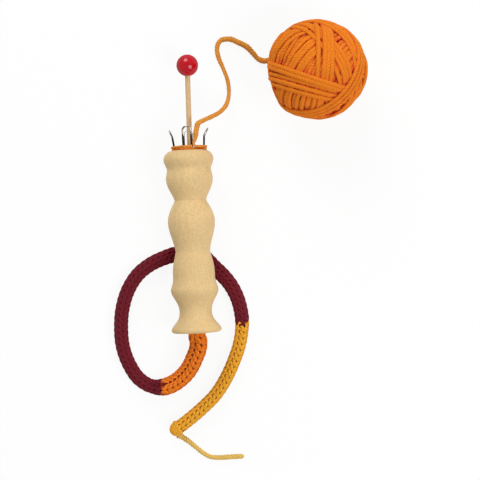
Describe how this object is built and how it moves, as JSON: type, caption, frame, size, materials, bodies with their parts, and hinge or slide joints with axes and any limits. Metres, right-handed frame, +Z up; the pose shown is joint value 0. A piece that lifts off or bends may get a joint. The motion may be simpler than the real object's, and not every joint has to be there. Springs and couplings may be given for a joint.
{
  "type": "knitting fork",
  "caption": "Turned wooden knitting spool with wire hooks round its bore, a round-headed needle, knitted cord leaving the foot and a ball of wool.",
  "frame": {"origin": "on the surface the fork lies on, under the middle of the fork's length", "axes": "+Y along the spool from its foot to its hooks, +Z up from the surface, +X to the right"},
  "size_m": [0.1585, 0.2601, 0.0589],
  "materials": {
    "spool_wood": "smooth turned pale hardwood, satin",
    "hook_steel": "bright drawn wire",
    "needle_wood": "plain sanded hardwood",
    "red_lacquer": "glossy red lacquer",
    "orange_wool": "knitted wool",
    "burgundy_wool": "knitted wool",
    "yellow_wool": "knitted wool",
    "ball_wool": "wound wool yarn"
  },
  "bodies": {
    "fork": {"turned_spool": "spool_wood", "hook_front": "hook_steel", "hook_right": "hook_steel", "hook_back": "hook_steel", "hook_left": "hook_steel", "stitch_front": "orange_wool", "stitch_right": "orange_wool", "stitch_back": "orange_wool", "stitch_left": "orange_wool", "hook_wrap": "orange_wool", "cord_in_bore": "orange_wool", "cord_orange": "orange_wool", "cord_burgundy": "burgundy_wool", "cord_yellow": "yellow_wool", "cord_end": "yellow_wool", "yarn_tail": "yellow_wool", "working_yarn": "ball_wool"},
    "needle": {"needle_stick": "needle_wood", "needle_head": "red_lacquer"},
    "ball": {"ball_core": "ball_wool", "ball_winding": "ball_wool"}
  },
  "joints": [
    {"name": "needle_slide", "type": "slide", "parent": "fork", "child": "needle", "axis": [0.0175, 0.9998, 0], "range_m": [-0.025, 0.06]},
    {"name": "ball_turn", "type": "hinge", "parent": "fork", "child": "ball", "pos_m": [0.0786, 0.06881, 0.0295], "axis": [0, 0, 1], "continuous": true}
  ]
}
